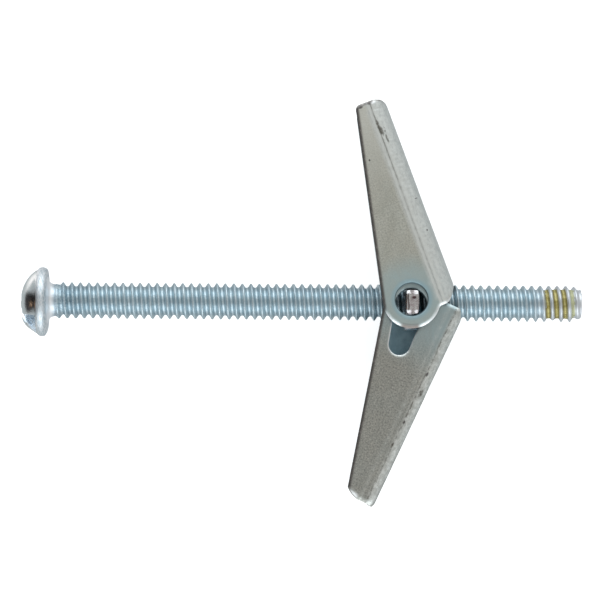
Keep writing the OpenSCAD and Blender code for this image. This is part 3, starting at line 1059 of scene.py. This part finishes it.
def make_nut():
    """The tapped plate with its two tongues."""
    corner, step = 0.45, 0.08
    half = TONGUE_W / 2
    end = TONGUE_END - 0.3
    side, back, front = PLATE_HALF - corner, corner - BACK_SHOULDER, FRONT_SHOULDER - corner
    outline = [(half, FRONT_SHOULDER), (half, end), (-half, end), (-half, FRONT_SHOULDER)]
    outline += arc_points((-side, front), corner, 90, 180, step)
    outline += arc_points((-side, back), corner, 180, 270, step)
    outline += [(-half, -BACK_SHOULDER), (-half, -end), (half, -end), (half, -BACK_SHOULDER)]
    outline += arc_points((side, back), corner, 270, 360, step)
    outline += arc_points((side, front), corner, 0, 90, step)
    near, far = [[(NUT_X + x, y, z) for y, z in outline] for x in (-PLATE_T / 2, PLATE_T / 2)]
    nut = prism("nut_plate", near, far, NUT)
    circle = [(BORE_R * cos(t), BORE_R * sin(t)) for t in FULL_TURN * np.arange(72) / 72]
    bore = prism("bore", *[[(NUT_X + x, y, z) for y, z in circle] for x in (-2, 2)], NUT)
    carve(nut, [bore], bevel=0.11, steps=3, sharp=40)
    smooth_shading(nut.data, 50)
    return join(nut, tongue_end(1), tongue_end(-1))


def tongue_end(side):
    """The struck end of a tongue: bevelled towards its edges and dished, with a pit and a split."""
    half_x = PLATE_T / 2 + 0.03
    half_y = TONGUE_W / 2 + 0.01
    cols, rows = 25, 41
    verts, pit = [], []
    for v in np.linspace(-1, 1, rows):
        for u in np.linspace(-1, 1, cols):
            pull = 1 - 0.10 * abs(u * v) ** 3
            x, y = half_x * u * pull, half_y * v * pull
            end_bevel = 0.44 * max(0, abs(y) - 0.72) * (1 - 0.75 * bell(x + 0.05 * copysign(1, y), 0.15))
            side_bevel = 0.9 * max(0, abs(x) - 0.50)
            dish = 0.045 * bell(x, 0.3) * bell(y, 0.5)
            mark = exp(-((x - 0.14) ** 2 + (y - 0.42) ** 2) / 0.028)
            split = bell(x + 0.38 + 0.04 * sin(4 * y), 0.055) * smooth(0.85, 0.6, abs(y))
            top = TONGUE_END + 0.02 - end_bevel - side_bevel - dish - 0.09 * mark - 0.05 * split
            verts.append((NUT_X + x, y, side * top))
            pit.append(min(1, 1.7 * max(mark, 0.7 * split)))
    faces = open_grid(rows, cols)
    rim = open_sides(faces)
    below = {a: len(verts) + i for i, (a, b) in enumerate(rim)}
    faces += [(below[a], below[b], b, a) for a, b in rim]
    verts += [(*verts[i][:2], side * (TONGUE_END - 0.55)) for i in below]
    # the flared flank that the shear leaves on the side towards the screw's head
    faces += open_grid(4, 9, first=len(verts))
    for share in (0.0, 0.35, 0.7, 1.0):
        x = NUT_X - half_x - 0.27 * share
        z = side * (TONGUE_END - 0.12 - 0.75 * share)
        verts += [(x, (half_y - 0.14 - 0.1 * share) * v, z) for v in np.linspace(-1, 1, 9)]
    end = mesh_object("tongue_end", verts, faces, NUT, sharp=42)
    outward_normals(end)
    set_attributes(end.data, pit=pit)
    return end


def tube(name, path, radius, sides, material):
    """A round wire along a path that never runs straight up."""
    path = np.array(path, float)
    turns = FULL_TURN * np.arange(sides) / sides
    verts = []
    for i, p in enumerate(path):
        forward = path[min(i + 1, len(path) - 1)] - path[max(i - 1, 0)]
        forward /= np.linalg.norm(forward)
        side = np.cross([0, 0, 1], forward)
        side /= np.linalg.norm(side)
        up = np.cross(forward, side)
        verts += [p + radius * (cos(t) * side + sin(t) * up) for t in turns]
    faces = [(a, d, c, b) for a, b, c, d in closed_bands(len(path), sides)]
    faces.append(tuple(range(sides)))
    faces.append(tuple(range(len(verts) - sides, len(verts)))[::-1])
    return mesh_object(name, verts, faces, material, sharp=60)


def make_spring(wings):
    """The wire's two halves, which meet at the back of the coil, one leg for each wing."""
    wire, reach, gap = 0.31, 8.5, 0.005
    coil_r = hypot(PLATE_T, TONGUE_W) / 2 + 0.03 + wire / 2
    middle_z = -(BACK_SHOULDER + Z_OUT - 2 * SHEET_T - 0.05) / 2
    leg_turns = []
    for wing, sign in zip(wings, (1, -1)):
        from_hinge = wing.web - SHEET_T - wire / 2 - 0.05
        inward = atan2(from_hinge, reach) - asin(coil_r / hypot(from_hinge, reach))
        leg_turns.append(sign * (pi / 2 + radians(wing.lean) - inward))
    starts = [leg_turns[0] - pi / 2, leg_turns[1] - 1.5 * pi]
    halves = {}
    for wing, leg_turn, start, side in zip(wings, leg_turns, starts, (-1, 1)):
        turns = np.linspace(start, sum(starts) / 2, 40)
        heights = np.linspace(middle_z + side * (wire / 2 + gap), middle_z, 40)
        coil = [np.array([NUT_X + coil_r * cos(t), coil_r * sin(t), z]) for t, z in zip(turns, heights)]
        along_leg = np.array([cos(leg_turn), sin(leg_turn), 0])
        leg = [coil[0] + along_leg * t for t in np.linspace(reach, 0.15, 34)]
        halves[wing.name] = tube(wing.name + "_spring_leg", leg + coil, wire / 2, 14, WIRE)
    return halves


WINGS = [UpperWing(), LowerWing()]
screw = make_screw()
sheets = {wing.name: wing.make() for wing in WINGS}
nut = make_nut()
spring = make_spring(WINGS)

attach(screw, "screw")
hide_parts("screw")
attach(nut, "nut")
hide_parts("trunnion_nut")
for name, sign in (("upper", 1), ("lower", -1)):
    body = name + "_wing"
    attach(sheets[name], body)
    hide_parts(body)
    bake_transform(spring[name])
    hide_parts("torsion_spring")


# ---- stage, light and camera ----

def floor_material():
    """White to the camera but with shadows, and a dimmer grey in reflections."""
    n = material_nodes("floor")
    speck = n.ramp(n.noise(0.05, detail=2))
    ray = n.add("LightPath").outputs
    lit = n.add("BsdfDiffuse", {"Color": n.mix(speck, (0.84, 0.84, 0.84), (0.87, 0.87, 0.87))})
    glow = n.add("Emission", {"Color": (1, 1, 1), "Strength": n.times(ray["Is Camera Ray"], 0.68)})
    seen = n.add("AddShader", {0: lit.outputs[0], 1: glow.outputs[0]})
    # in reflections it has a pale patch on one side and a dark card past the screw's head
    x, y, _ = n.separate(n.coords())
    card = n.times(n.ramp(x, -10, -14), n.near(n.math("DIVIDE", y, x), 0.03, 0.55))
    colour = n.paint(
        n.mix(speck, (0.52, 0.56, 0.57), (0.54, 0.58, 0.59)),
        (n.spot((x, y), (-9, 9), (9, 7)), (1.25, 1.22, 1.2)),
        (n.ramp(card, 0.05, 0.5), (0.05, 0.045, 0.045)),
    )
    mirrored = n.add("Emission", {"Color": colour})
    return n.output(n.add("MixShader", {0: ray["Is Glossy Ray"], 1: seen.outputs[0], 2: mirrored.outputs[0]}))


def studio_world():
    """A sky, paler to both sides, with a dark card and a warm lamp past the screw's head."""
    n = Nodes(bpy.data.worlds.new("studio"))
    east, north, top = n.separate(n.add("TexCoord").outputs["Generated"])
    card = n.times(n.ramp(east, -0.62, -0.80), n.near(north, 0.0, 0.52), n.ramp(top, 0.74, 0.50))
    lamp = n.times(n.near(north, -0.10, 0.09), n.near(top, 0.12, 0.10), n.ramp(east, -0.8, -0.9))
    colour = n.paint(
        n.mix(n.ramp(n.math("ABSOLUTE", north), 0.12, 0.80), (0.47, 0.47, 0.45), (0.98, 1.06, 1.10)),
        (n.times(n.ramp(east, -0.25, -0.95), 0.55), (0.12, 0.13, 0.14)),
        (n.ramp(card, 0.08, 0.55), (0.016, 0.014, 0.013)),
        (n.ramp(lamp, 0.1, 0.4), (0.95, 0.60, 0.38)),
    )
    return n.output(n.add("Background", {"Color": colour}), "OutputWorld")


def softbox(name, location, target, size, brightness, colour):
    """A rectangular light, as bright at any size."""
    light = bpy.data.lights.new(name, "AREA")
    configure(light, shape="RECTANGLE", size=size[0] * MM, size_y=size[1] * MM, color=colour)
    light.energy = brightness * pi * light.size * light.size_y
    obj = new_object(name, light)
    obj.location = Vector(location) * MM
    obj.rotation_mode = "QUATERNION"
    obj.rotation_quaternion = (Vector(target) - Vector(location)).to_track_quat("-Z", "Y")


def add_camera(eye, aim, view_width, roll):
    """Looks from eye to aim, turned by roll degrees, and sees view_width of what is at z = 0."""
    roll = radians(roll)
    forward = (aim - eye).normalized()
    level = Vector((cos(roll), sin(roll), 0))
    right = (level - forward * level.dot(forward)).normalized()
    turned = Matrix((right, right.cross(forward), -forward)).transposed()
    data = bpy.data.cameras.new("camera")
    sensor = 36
    configure(data, sensor_width=sensor, lens=sensor * eye.z / view_width, clip_start=0.01, clip_end=10)
    camera = new_object("camera", data)
    camera.matrix_world = Matrix.Translation(eye * MM) @ turned.to_4x4()
    bpy.context.scene.camera = camera


FLOOR_Z = -Z_OUT - 0.01
corners = [(x, y, FLOOR_Z) for x, y in ((-900, -900), (900, -900), (900, 900), (-900, 900))]
floor = mesh_object("floor", corners, [(0, 1, 2, 3)], floor_material())
bpy.context.scene.world = studio_world()
for name, y in (("light_above", 330), ("light_below", -330)):
    softbox(name, (20, y, 160), (25, 0, 0), (520, 300), 1.15, (0.90, 0.97, 1.0))
add_camera(Vector((20.0, -7.0, 260.0)), Vector((23.482, 0.19, 0.0)), view_width=55.92, roll=0.44)
bpy.context.scene.view_settings.view_transform = "Standard"
